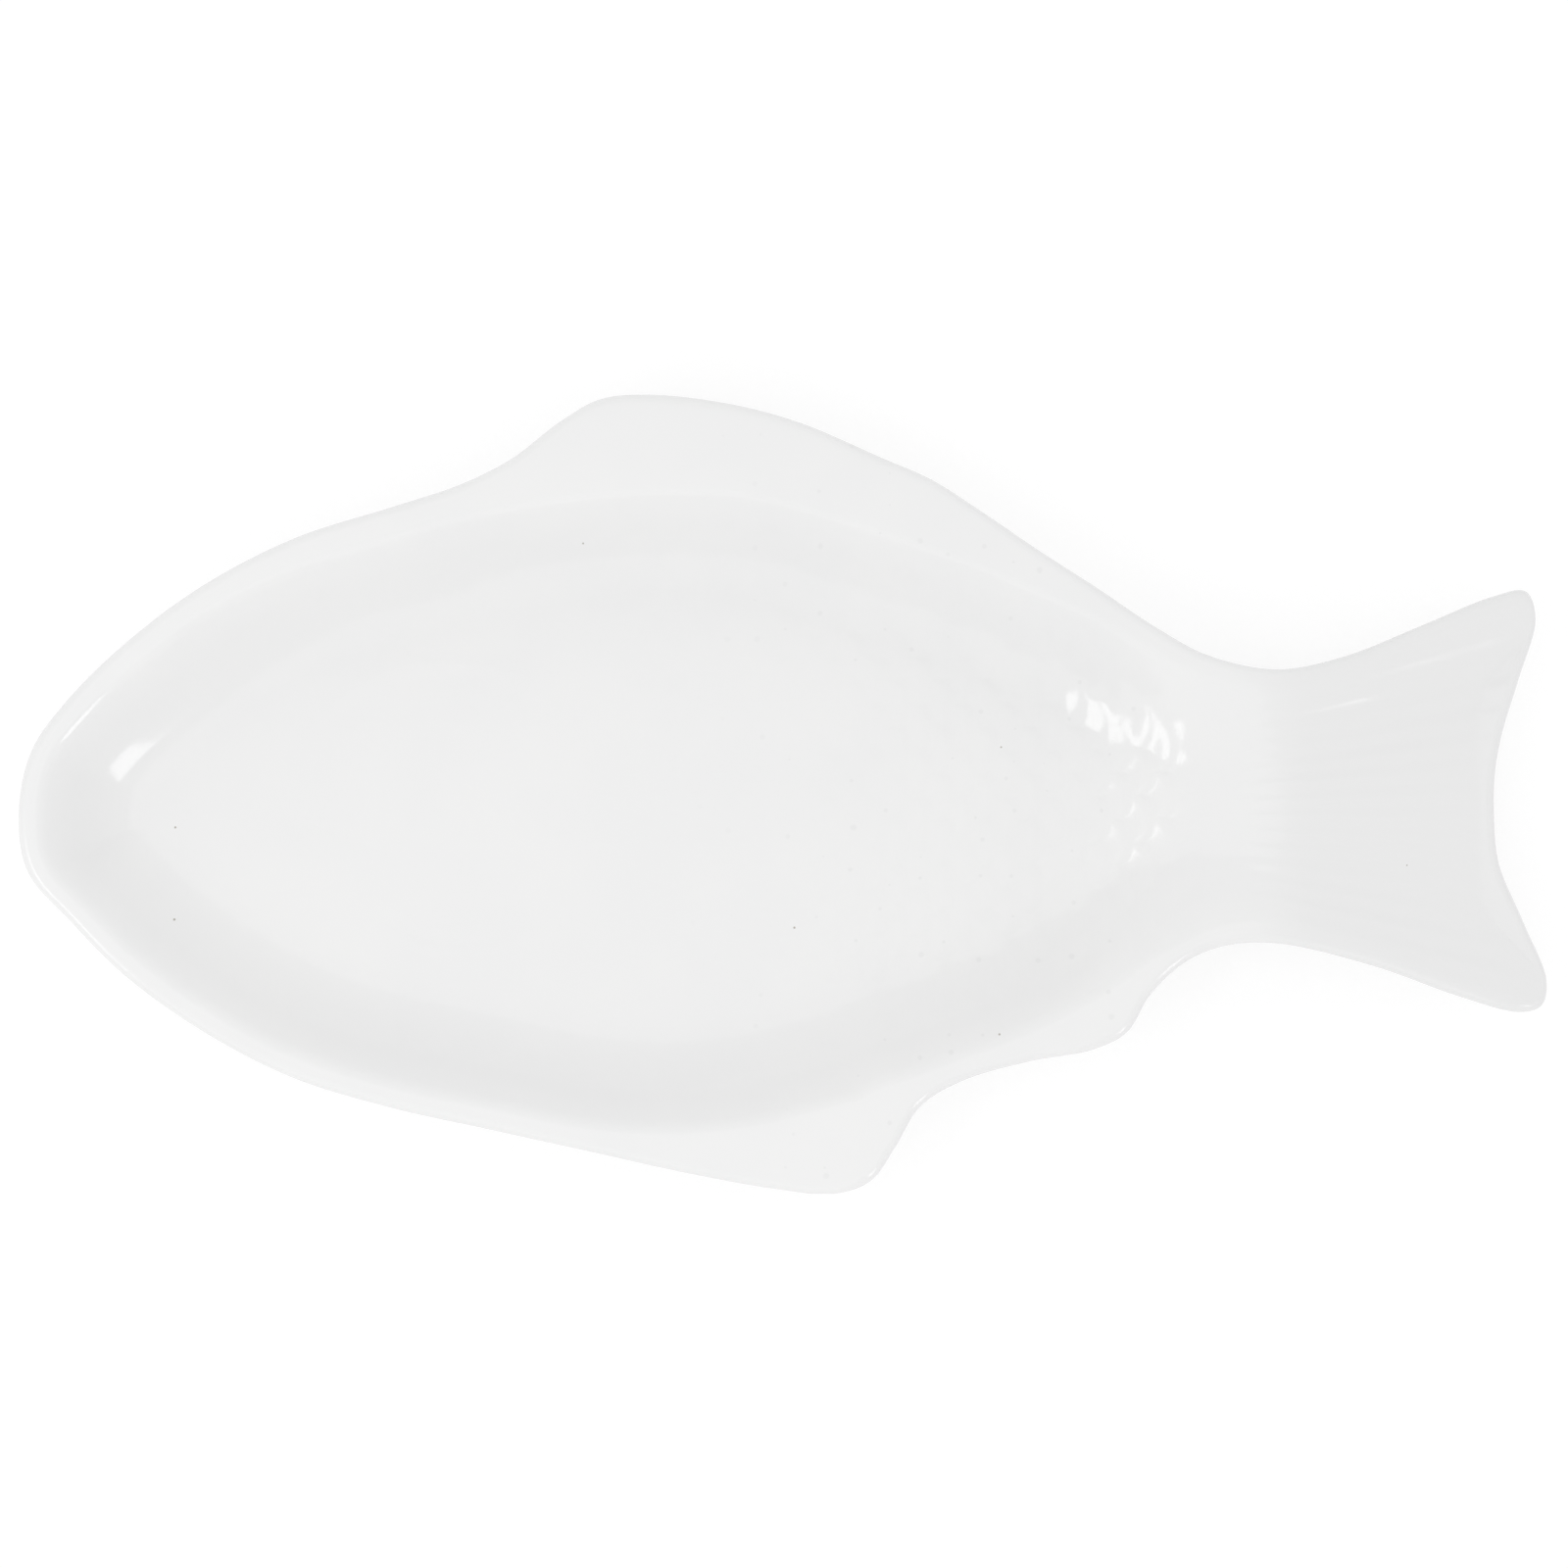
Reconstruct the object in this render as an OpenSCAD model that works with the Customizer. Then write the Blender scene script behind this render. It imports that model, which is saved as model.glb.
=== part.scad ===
// Fish shaped platter in glazed ceramic
// The nose points along -X, the dorsal fin along +Y, and the foot stands on Z = 0

/* [Platter] */
// Length from the nose to the tips of the tail
platter_length = 356; // [260:1:480]
// Width from the dorsal fin to the pelvic fin
platter_width = 186; // [150:1:250]
// Height of the rim above the table
platter_height = 25; // [22:0.5:36]

/* [Clay] */
// Thickness of the clay under the floor of the well
floor_thickness = 4.2; // [3:0.1:7]
// Thickness of the clay in the rim, the fins and the tail
rim_thickness = 3.2; // [2.4:0.1:5]
// Run of the well's wall in plan, from the rim to the floor
wall_run = 24; // [16:0.5:26]

/* [Tail] */
// Rise of the tail's crest above the floor of the well
tail_rise = 11.5; // [6:0.5:14]
// Drop of the tail from its crest to the middle of its end
tail_droop = 6; // [0:0.25:8]
// Run of the shallow walls along the tail's two edges
tail_wall_run = 22; // [12:0.5:24]
// Drop of the tail's rim over the same length
rim_droop = 5.5; // [0:0.25:8]

/* [Foot] */
// Height of the foot ring, from the table to the clay of the underside
foot_height = 4.8; // [4.4:0.1:7.4]
// Width of the foot ring's bare face
foot_width = 4.6; // [3:0.1:8]
// Flat clay left between the underside's wall and the foot ring
foot_inset = 2.2; // [1:0.1:8]

/* [Glaze] */
// Thickness of the glaze
glaze_thickness = 0.4; // [0.2:0.05:0.6]

/* [Hidden] */

// Points drawn on each stretch between two stations of the outline
stretch_steps = 2;
// Knot power of the outline's spline, where a half keeps it from overshooting
knot_power = 0.5;

// Nose and middle of the tail's end: place along the length, place across the width, and
// distance from the edge in to the top of the well's wall, where a minus lies past the edge
nose_shares = [-0.5, -0.024, 0.02];
tail_end_shares = [0.466, -0.024, -0.074];
// The same for the dorsal side, from the nose to the tail
dorsal_shares = [
  [-0.492, 0.052, 0.02], [-0.471, 0.111, 0.021], [-0.433, 0.184, 0.025],
  [-0.382, 0.258, 0.028], [-0.321, 0.319, 0.033], [-0.256, 0.359, 0.036],
  [-0.212, 0.387, 0.039], [-0.179, 0.419, 0.057], [-0.147, 0.466, 0.094],
  [-0.121, 0.494, 0.117], [-0.09, 0.5, 0.121], [-0.038, 0.489, 0.112],
  [0.008, 0.466, 0.107], [0.064, 0.42, 0.092], [0.096, 0.393, 0.085],
  [0.128, 0.354, 0.069], [0.167, 0.303, 0.05], [0.205, 0.256, 0.034],
  [0.244, 0.206, 0.025], [0.276, 0.173, 0.02], [0.321, 0.155, 0.02],
  [0.365, 0.171, 0.022], [0.417, 0.211, 0.022], [0.465, 0.249, 0.022],
  [0.487, 0.256, 0.012], [0.494, 0.221, -0.049], [0.483, 0.147, -0.074],
  [0.472, 0.08, -0.074], [0.467, 0.031, -0.074],
];
// The same for the ventral side, from the nose to the tail
ventral_shares = [
  [-0.494, -0.098, 0.02], [-0.466, -0.16, 0.02], [-0.429, -0.23, 0.022],
  [-0.378, -0.299, 0.023], [-0.321, -0.355, 0.023], [-0.256, -0.393, 0.023],
  [-0.192, -0.42, 0.024], [-0.128, -0.447, 0.027], [-0.064, -0.474, 0.048],
  [-0.006, -0.494, 0.08], [0.032, -0.5, 0.103], [0.056, -0.484, 0.1],
  [0.072, -0.442, 0.076], [0.088, -0.392, 0.037], [0.115, -0.36, 0.025],
  [0.16, -0.335, 0.032], [0.2, -0.321, 0.054], [0.223, -0.299, 0.059],
  [0.238, -0.253, 0.037], [0.26, -0.213, 0.022], [0.285, -0.192, 0.02],
  [0.321, -0.188, 0.02], [0.385, -0.216, 0.022], [0.442, -0.254, 0.022],
  [0.481, -0.273, 0.017], [0.496, -0.265, -0.037], [0.5, -0.233, -0.061],
  [0.485, -0.16, -0.074], [0.469, -0.086, -0.074],
];
// Where each pair of stations meets on the fish's middle line, along the length
middle_shares = [
  -0.385, -0.383, -0.377, -0.365, -0.343, -0.304, -0.256, -0.202, -0.154, -0.106, -0.064,
  -0.029, 0.01, 0.04, 0.076, 0.106, 0.144, 0.183, 0.208, 0.231, 0.253, 0.276,
  0.296, 0.314, 0.328, 0.34, 0.349, 0.356, 0.362, 0.367, 0.371,
];
// Place of the middle line across the width
middle_line_share = -0.024;
// Where the well's floor starts to climb to the tail, and where it reaches the crest
climb_shares = [0.165, 0.312];
// Point of the middle line round which the tail droops like a fan
fan_share = 0.2;
// How softly the droop sets in behind the crest, as a share of its length
crest_share = 0.25;
// Shares of the wall's run that round over from the rim, and that sweep out into the floor
round_share = 0.1;
sweep_share = 0.65;
// Half width of the well at its widest, which the foot ring follows
well_half_share = 0.393;
// How much wider the foot ring is at its back than at its front
foot_taper_share = 0.12;
// Front of the foot ring, measured in from where the nose's wall ends
foot_front_share = 0.02;
// Pairs of stations, counted from the nose, that belong to the foot ring
foot_stations = 19;

// Where the drawn rings lie: down the wall, across the floor, and on the underside
wall_step_shares = [0.09, 0.21, 0.37, 0.55, 0.76, 1];
floor_step_shares = [0.35, 0.7];
under_wall_step_shares = [0.2, 0.45, 0.7, 1];
flat_step_shares = [0.5];
// A wall takes no more than this share of the way to the middle line
wall_reach_share = 0.75;
// How far the underside's wall stands outside the well's wall, as a share of the clay there
wall_offset_share = 0.55;
// Least gap from the lip's crown to the drawn wall, as a share of the lip's radius
crown_share = 0.6;
// Turn of the lip's rounding at which its middle ring is drawn
lip_turn = 45;

// Heights of the glazed surface
rim_z = platter_height;
floor_z = foot_height + floor_thickness + glaze_thickness;
crest_z = floor_z + tail_rise;
lip_radius = rim_thickness / 2 + glaze_thickness;
wall_offset = wall_offset_share * rim_thickness;
climb_x = climb_shares * platter_length;
crest_x = climb_x[1];
fan_x = fan_share * platter_length;
tail_x = tail_end_shares.x * platter_length;
middle_y = middle_line_share * platter_width;

function mix(a, b, t) = a + (b - a) * t;
function clamp(t) = min(max(t, 0), 1);
function ease(t) = let (c = clamp(t)) c * c * (3 - 2 * c);
// The wall's fall from the rim: rounded over, then even, then swept out
function fall(t) =
  let (c = clamp(t), even = 1 - sweep_share)
  (
    c < round_share ? c * c / (2 * round_share)
    : c < even ? c - round_share / 2
    : c - round_share / 2 - (c - even) * (c - even) / (2 * sweep_share)
  ) * 2 / (1 + even - round_share);
// A droop that sets in softly and then goes on evenly
function droop(t) =
  let (c = max(t, 0))
  (c < crest_share ? c * c / (2 * crest_share) : c - crest_share / 2) / (1 - crest_share / 2);

// A spline through four points that draws the stretch between the second and the third
function knot(a, b) = pow(norm([b.x - a.x, b.y - a.y]), knot_power);
function between(a, b, ta, tb, t) = mix(a, b, (t - ta) / (tb - ta));
function spline_point(p, f) =
  let (
    t1 = knot(p[0], p[1]),
    t2 = t1 + knot(p[1], p[2]),
    t3 = t2 + knot(p[2], p[3]),
    t = mix(t1, t2, f),
    a = between(p[0], p[1], 0, t1, t),
    b = between(p[1], p[2], t1, t2, t),
    c = between(p[2], p[3], t2, t3, t)
  )
  between(between(a, b, 0, t2, t), between(b, c, t1, t3, t), t1, t2, t);

function reversed(list) = [for (i = [len(list) - 1:-1:0]) list[i]];

// The outline runs from the nose over the dorsal side to the tail and back
station_shares = concat([nose_shares], dorsal_shares, [tail_end_shares], reversed(ventral_shares));
stations = [
  for (s = station_shares) [s.x * platter_length, s.y * platter_width, s.z * platter_width]
];
station_count = len(stations);
outline = [
  for (i = [0:station_count - 1])
    let (four = [for (j = [-1:2]) stations[(i + j + station_count) % station_count]])
      for (s = [0:stretch_steps - 1]) spline_point(four, s / stretch_steps)
];
count = len(outline);
half_count = count / 2;

function flat(p) = [p.x, p.y];
function unit(v) = v / norm(v);
// The direction into the platter, square to its edge
function inward(i) =
  let (along = unit(flat(outline[(i + 1) % count]) - flat(outline[(i + count - 1) % count])))
  [along.y, -along.x];

// The point of the middle line that belongs to a point of the outline
middle_table = [for (i = [0:len(middle_shares) - 1]) [i, middle_shares[i] * platter_length]];
function middle_index(i) = min(i, count - i);
function middle_point(m) = [lookup(m / stretch_steps, middle_table), middle_y];
middle = [for (i = [0:count - 1]) middle_point(middle_index(i))];

edges = [for (p = outline) flat(p)];
normals = [for (i = [0:count - 1]) inward(i)];
aims = [for (i = [0:count - 1]) unit(middle[i] - edges[i])];
// The crown of the lip, the top of the well's wall, and where the drawn wall starts
crowns = [for (i = [0:count - 1]) edges[i] + normals[i] * lip_radius];
wall_tops = [for (i = [0:count - 1]) edges[i] + aims[i] * outline[i].z];
crown_aims = [for (i = [0:count - 1]) unit(middle[i] - crowns[i])];
wall_starts = [
  for (i = [0:count - 1])
    crowns[i] + crown_aims[i] * max(outline[i].z - lip_radius, lip_radius * crown_share)
];

// Distance from a point to the line of the wall's top, above zero inside the well
function to_segment(p, a, b) =
  let (ab = b - a, f = clamp((p - a) * ab / (ab * ab))) norm(p - a - ab * f);
function crosses(p, a, b) =
  (a.y > p.y) != (b.y > p.y) && p.x < (b.x - a.x) * (p.y - a.y) / (b.y - a.y) + a.x;
function total(list) = list * [for (v = list) 1];
function into_well(p) =
  let (
    distance = min([for (i = [0:count - 1]) to_segment(p, wall_tops[i], wall_tops[(i + 1) % count])]),
    hits = total([
      for (i = [0:count - 1]) crosses(p, wall_tops[i], wall_tops[(i + 1) % count]) ? 1 : 0
    ])
  )
  hits % 2 == 1 ? distance : -distance;

// Share of the climb from the well's floor to the tail, and of the way from the tail's crest
// to the middle of its end
function climbed(x) = ease((x - climb_x[0]) / (climb_x[1] - climb_x[0]));
function along_tail(p) = (norm([p.x - fan_x, p.y - middle_y]) - crest_x + fan_x) / (tail_x - crest_x);
function fanned(x) = ease((x - fan_x) / (crest_x - fan_x));
function drooped(p) = fanned(p.x) * droop(along_tail(p));
function floor_at(p) = mix(floor_z, crest_z, climbed(p.x)) - tail_droop * drooped(p);
function rim_at(p) = rim_z - rim_droop * drooped(p);
function run_at(x) = mix(wall_run, tail_wall_run, climbed(x));
function clay_at(x, sunk) = mix(rim_thickness, floor_thickness, sunk * (1 - climbed(x)));

// Heights of the glazed top and the glazed underside at a point
function top_at(p, deep) = mix(rim_at(p), floor_at(p), fall(deep / run_at(p.x)));
function under_at(p, deep) =
  let (sunk = fall((deep + wall_offset) / run_at(p.x)))
  mix(rim_at(p), floor_at(p), sunk) - clay_at(p.x, sunk) - 2 * glaze_thickness;

// Rings of the top, from the lip's crown to the middle line
function wall_reach(i) =
  min(run_at(wall_starts[i].x), wall_reach_share * norm(middle[i] - wall_starts[i]));
function wall_ring(t) =
  [for (i = [0:count - 1]) wall_starts[i] + crown_aims[i] * t * wall_reach(i)];
wall_ends = wall_ring(1);
top_rings = concat(
  [crowns, wall_starts],
  [for (t = wall_step_shares) wall_ring(t)],
  [for (t = floor_step_shares) [for (i = [0:count - 1]) mix(wall_ends[i], middle[i], t)]]
);
middle_line = [for (m = [0:half_count]) middle_point(m)];
middle_end = middle_line[half_count].x;

// The foot ring's edges: an oval, fuller towards the back
foot_front = -platter_length / 2 + wall_run + foot_front_share * platter_length + foot_inset;
foot_back = climb_x[0] - foot_inset;
foot_middle = (foot_front + foot_back) / 2;
foot_half_length = (foot_back - foot_front) / 2;
foot_half_width = well_half_share * platter_width - wall_run - foot_inset;
foot_pairs = foot_stations * stretch_steps;
foot_count = 2 * foot_pairs;
function foot_point(j, inset) =
  let (turn = 180 * j / foot_pairs, place = -cos(turn))
  [
    foot_middle + (foot_half_length - inset) * place,
    middle_y + (foot_half_width - inset) * sin(turn) * (1 + foot_taper_share * place),
  ];
foot_outer = [for (j = [0:foot_count - 1]) foot_point(j, 0)];
foot_inner = [for (j = [0:foot_count - 1]) foot_point(j, foot_width)];

// The underside ends at the foot ring, and behind it on the middle line of the tail
function tail_middle_point(m) =
  [mix(foot_back, middle_end, (m - foot_pairs) / (half_count - foot_pairs)), middle_y];
tail_middle = [for (m = [foot_pairs + 1:half_count]) tail_middle_point(m)];
function under_end(i) =
  let (m = middle_index(i))
  m > foot_pairs ? foot_count + m - foot_pairs - 1
  : i <= half_count ? m : (foot_count - m) % foot_count;
under_ends = concat(foot_outer, tail_middle);

// Rings of the underside, from the lip towards where it ends
function under_wall_ring(t) = [
  for (i = [0:count - 1])
    wall_starts[i] + crown_aims[i] * t * max(wall_reach(i) - wall_offset, wall_offset)
];
under_wall_ends = under_wall_ring(1);
under_rings = concat(
  [crowns],
  [for (t = under_wall_step_shares) under_wall_ring(t)],
  [
    for (t = flat_step_shares)
      [for (i = [0:count - 1]) mix(under_wall_ends[i], under_ends[under_end(i)], t)]
  ]
);

// Points of the glazed surface on the rings and where they end
function lifted_top(ring) = [for (p = ring) [p.x, p.y, top_at(p, into_well(p))]];
function lifted_under(ring) = [for (p = ring) [p.x, p.y, under_at(p, into_well(p))]];
glazed_top = [for (ring = top_rings) lifted_top(ring)];
glazed_under = [for (ring = under_rings) lifted_under(ring)];
glazed_middle = lifted_top(middle_line);
glazed_tail_middle = lifted_under(tail_middle);

function raised(ring, by) = [for (p = ring) [p.x, p.y, p.z + by]];
function at_height(ring, z) = [for (p = ring) [p.x, p.y, z]];
// One ring of the lip, turned from the underside at -90 degrees to the crown at 90
function lip_ring(turn, skin) = [
  for (i = [0:count - 1])
    let (
      high = glazed_top[0][i].z - skin,
      low = glazed_under[0][i].z + skin,
      place = crowns[i] - normals[i] * (lip_radius - skin) * cos(turn)
    )
      [place.x, place.y, mix(low, high, (1 + sin(turn)) / 2)]
];

// A surface that lies a skin under the glazed one: rings from the underside over the lip, then
// the foot ring's edge, the tail's middle line below, and the middle line above
function surface_rings(skin) =
  concat(
    [for (ring = reversed(glazed_under)) raised(ring, skin)],
    [for (turn = [-lip_turn, 0, lip_turn]) lip_ring(turn, skin)],
    [for (ring = glazed_top) raised(ring, -skin)]
  );
function surface_points(skin) =
  concat(
    [for (ring = surface_rings(skin)) each ring],
    at_height(foot_outer, foot_height - glaze_thickness + skin),
    raised(glazed_tail_middle, skin),
    raised(glazed_middle, -skin)
  );
ring_count = len(surface_rings(0));
foot_first = ring_count * count;
middle_first = foot_first + len(under_ends);
surface_size = middle_first + len(middle_line);

// Faces of the surface, with their outer side out
function halves(a, b, c, d, crossed = false) =
  crossed ? [[a, b, d], [b, c, d]] : [[a, b, c], [a, c, d]];
// Near the nose and the tail, faces that meet the middle line are cut so that none is flat
function leads(i) = i % half_count < half_count / 2;
function next(i) = (i + 1) % count;
function ring_faces() = [
  for (r = [0:ring_count - 2])
    for (i = [0:count - 1])
      let (low = r * count, high = low + count)
        each halves(low + i, low + next(i), high + next(i), high + i)
];
function middle_faces() = [
  for (i = [0:count - 1])
    let (last = foot_first - count)
      each halves(
        last + i, last + next(i),
        middle_first + middle_index(next(i)), middle_first + middle_index(i),
        leads(i)
      )
];
function under_faces() = [
  for (i = [0:count - 1])
    each halves(
      foot_first + under_end(i), foot_first + under_end(next(i)), next(i), i, !leads(i)
    )
];
skin_faces = concat(under_faces(), ring_faces(), middle_faces());
// The flat underside within the foot ring's edge, as strips across it
foot_strips = [
  for (j = [0:foot_pairs - 1])
    each halves(j, (foot_count - j) % foot_count, foot_count - j - 1, j + 1)
];
under_floor_faces = [
  for (f = foot_strips) if (f[0] != f[1] && f[1] != f[2] && f[2] != f[0]) f
];
function turned(faces) = [for (f = faces) reversed(f)];
function moved(faces, by) = [for (f = faces) [for (v = f) v + by]];

// The fired clay, with the well, the rim, the fins and the tail
module clay_body() {
  color("linen")
    polyhedron(
      points = surface_points(glaze_thickness),
      faces = concat(skin_faces, moved(under_floor_faces, foot_first))
    );
}

// The bare ring on which the platter stands
module foot_ring() {
  color("burlywood")
    linear_extrude(height = foot_height)
      polygon(
        points = concat(foot_outer, foot_inner),
        paths = [
          [for (j = [0:foot_count - 1]) j],
          [for (j = [0:foot_count - 1]) foot_count + j]
        ]
      );
}

// The glaze over the well, the lip and the underside, down to the foot ring
module outer_glaze() {
  edge_faces = [
    for (j = [0:foot_count - 1])
      let (a = foot_first + j, b = foot_first + (j + 1) % foot_count)
        each halves(a, surface_size + a, surface_size + b, b)
  ];
  color("white")
    polyhedron(
      points = concat(surface_points(0), surface_points(glaze_thickness)),
      faces = concat(skin_faces, turned(moved(skin_faces, surface_size)), edge_faces)
    );
}

// The glaze inside the foot ring
module recess_glaze() {
  color("white")
    translate([0, 0, foot_height - glaze_thickness])
      linear_extrude(height = glaze_thickness)
        polygon(foot_inner);
}

clay_body();
foot_ring();
outer_glaze();
recess_glaze();
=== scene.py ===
"""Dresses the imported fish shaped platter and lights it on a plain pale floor.

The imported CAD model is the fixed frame. Each of its nodes is replaced by a finer surface that
is worked out from the same sizes and outline, with the faint pressed relief of the real platter.
"""

import logging
import math
from dataclasses import dataclass
from enum import Enum
from typing import ClassVar

import bpy
import numpy as np
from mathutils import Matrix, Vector


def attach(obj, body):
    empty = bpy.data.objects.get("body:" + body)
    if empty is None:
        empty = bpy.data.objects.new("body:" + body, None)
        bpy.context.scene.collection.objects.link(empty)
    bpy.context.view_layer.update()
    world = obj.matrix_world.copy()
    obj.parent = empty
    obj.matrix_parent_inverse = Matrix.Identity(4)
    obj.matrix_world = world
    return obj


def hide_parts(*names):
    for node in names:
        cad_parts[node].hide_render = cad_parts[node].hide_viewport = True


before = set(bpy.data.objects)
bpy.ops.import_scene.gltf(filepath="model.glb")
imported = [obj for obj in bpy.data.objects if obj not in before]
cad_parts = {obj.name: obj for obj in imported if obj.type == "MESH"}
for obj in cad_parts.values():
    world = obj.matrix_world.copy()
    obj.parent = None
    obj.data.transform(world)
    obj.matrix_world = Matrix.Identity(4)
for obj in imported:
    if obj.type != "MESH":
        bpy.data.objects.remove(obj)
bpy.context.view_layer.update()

LOG = logging.getLogger("platter")
MM = 0.001
BLOCK = 4000
Array = np.ndarray
Value = float | tuple | bpy.types.NodeSocket


class Body(Enum):
    """Bodies of the frame that pieces ride on."""

    WHOLE = "root"


class Slot(Enum):
    """Material slots of the record."""

    CLAY = "clay"
    BARE_FOOT = "bare_foot"
    GLAZE = "glaze"


class Spread(Enum):
    """How specks are spread, by Blender's name for the pattern's dimensions."""

    IN_PLAN = "2D"
    IN_DEPTH = "3D"


# Working out points


def ease(t: Array) -> Array:
    """Smooth step: three times the square less twice the cube of t held within 0 and 1."""
    t = np.clip(t, 0.0, 1.0)
    return t * t * (3.0 - 2.0 * t)


def mix(a: Array, b: Array, t: Array) -> Array:
    """The point or value that lies a share t of the way from a to b."""
    return a + (b - a) * t


def fall(t: Array, round_share: float, sweep_share: float) -> Array:
    """Share of a wall's fall at a share t of its run: rounded over, then even, then swept out.

    The slope grows evenly over the first share, stays, and shrinks evenly over the last one.

    Args:
        t: Shares of the run, held within 0 and 1.
        round_share: Share of the run over which the slope grows.
        sweep_share: Share of the run over which it shrinks.

    Returns:
        Shares of the fall, from 0 at the rim to 1 at the floor.
    """
    held, even = np.clip(t, 0.0, 1.0), 1.0 - sweep_share
    swept = held - round_share / 2 - (held - even) ** 2 / (2 * sweep_share)
    sunk = np.where(held < even, held - round_share / 2, swept)
    sunk = np.where(held < round_share, held**2 / (2 * round_share), sunk)
    return sunk * 2 / (1.0 + even - round_share)


def droop(t: Array, soft_share: float) -> Array:
    """A fall that sets in as a square over a soft share and then goes on evenly.

    Args:
        t: Shares of the run, where what is below zero hasn't set in.
        soft_share: Share of the run over which the slope grows.

    Returns:
        Shares of the fall, one at the end of the run.
    """
    held = np.maximum(t, 0.0)
    sunk = np.where(held < soft_share, held**2 / (2 * soft_share), held - soft_share / 2)
    return sunk / (1.0 - soft_share / 2)


def unit(vectors: Array) -> Array:
    """Each row of vectors at a length of one."""
    return vectors / np.linalg.norm(vectors, axis=-1, keepdims=True)


def window(x: Array, low: float, high: float, soft: float) -> Array:
    """One between low and high, falling smoothly to zero over soft outside them."""
    return ease((x - low) / soft + 1.0) * ease((high - x) / soft + 1.0)


def closed_spline(stations: Array, steps: int, power: float = 0.5) -> Array:
    """A closed line through stations, drawn with a centripetal Catmull-Rom spline.

    Each stretch blends the lines through its four nearest stations, with knots spaced by the
    distance between stations in plan, raised to power.

    Args:
        stations: Points, the first two columns being the plan.
        steps: Points drawn on each stretch.
        power: Knot power.

    Returns:
        The drawn points, steps for each station.
    """
    p0, p1, p2, p3 = (np.roll(stations, shift, 0)[:, None] for shift in (1, 0, -1, -2))

    def knot(a: Array, b: Array) -> Array:
        """Knot spacing between two stations."""
        return np.linalg.norm((b - a)[..., :2], axis=-1, keepdims=True) ** power

    t1 = knot(p0, p1)
    t2 = t1 + knot(p1, p2)
    t3 = t2 + knot(p2, p3)
    t = mix(t1, t2, (np.arange(steps) / steps)[None, :, None])
    a = mix(p0, p1, t / t1)
    b = mix(p1, p2, (t - t1) / (t2 - t1))
    c = mix(p2, p3, (t - t2) / (t3 - t2))
    drawn = mix(mix(a, b, t / t2), mix(b, c, (t - t1) / (t3 - t1)), (t - t1) / (t2 - t1))
    return drawn.reshape(-1, stations.shape[1])


def distance_to_line(points: Array, line: Array, closed: bool) -> Array:
    """Distance in plan from points to a line, by blocks of points.

    On a closed line it is above zero inside, told by how many times a ray along X crosses it.

    Args:
        points: Rows of x, y.
        line: Corners of the line.
        closed: Whether the line returns to its first corner.

    Returns:
        One distance for each point.
    """
    start = line if closed else line[:-1]
    end = np.roll(line, -1, 0) if closed else line[1:]
    along = end - start
    long_squared = (along**2).sum(-1)
    found = np.empty(len(points))
    for first in range(0, len(points), BLOCK):
        block = points[first : first + BLOCK, None, :2]
        away = block - start
        share = np.clip((away * along).sum(-1) / long_squared, 0.0, 1.0)
        gap = np.linalg.norm(away - along * share[..., None], axis=-1).min(1)
        if closed:
            rises = (start[:, 1] > block[..., 1]) != (end[:, 1] > block[..., 1])
            height = np.where(along[:, 1] == 0.0, 1.0, along[:, 1])
            meets = block[..., 0] < start[:, 0] + along[:, 0] * away[..., 1] / height
            gap = np.where((rises & meets).sum(1) % 2 == 1, gap, -gap)
        found[first : first + BLOCK] = gap
    return found


def neighbours(around: int) -> tuple[Array, Array]:
    """Indices of the points on a closed ring, and of the next point after each."""
    point = np.arange(around)
    return point, (point + 1) % around


def ring_quads(rings: int, around: int) -> Array:
    """Quads between closed rings of points, each ring following the one before.

    Args:
        rings: Number of rings.
        around: Points on each ring.

    Returns:
        Rows of four point indices.
    """
    row = np.arange(rings - 1)[:, None] * around
    low, ahead = (row + index for index in neighbours(around))
    return np.stack([low, ahead, ahead + around, low + around], -1).reshape(-1, 4)


def strip_faces(around: int, first: int = 0) -> list[list[int]]:
    """Faces across a flat oval, each joining two neighbours to their mirror points.

    Args:
        around: Points on the oval, the first at its front.
        first: Index of the first point.

    Returns:
        Lists of three or four point indices.
    """
    half = around // 2
    point = np.arange(1, half - 1)
    inner = first + np.stack([point, around - point, around - point - 1, point + 1], -1)
    front = [first, first + around - 1, first + 1]
    back = [first + half - 1, first + half + 1, first + half]
    return [front, *inner.tolist(), back]


def make_piece(
    name: str, points: Array, faces: list[list[int]], crease: float = 0.7
) -> bpy.types.Object:
    """Puts points and faces into a smooth shaded mesh object.

    Args:
        name: Name of the piece.
        points: Rows of x, y, z in metres.
        faces: Lists of point indices.
        crease: Angle in radians past which an edge stays sharp.

    Returns:
        The new object, linked to the scene.
    """
    mesh = bpy.data.meshes.new(name)
    mesh.from_pydata(points.tolist(), [], faces)
    mesh.polygons.foreach_set("use_smooth", np.ones(len(mesh.polygons), bool))
    mesh.set_sharp_from_angle(angle=crease)
    mesh.validate()
    piece = bpy.data.objects.new(name, mesh)
    bpy.context.scene.collection.objects.link(piece)
    return piece


# Sizes and outline


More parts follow.
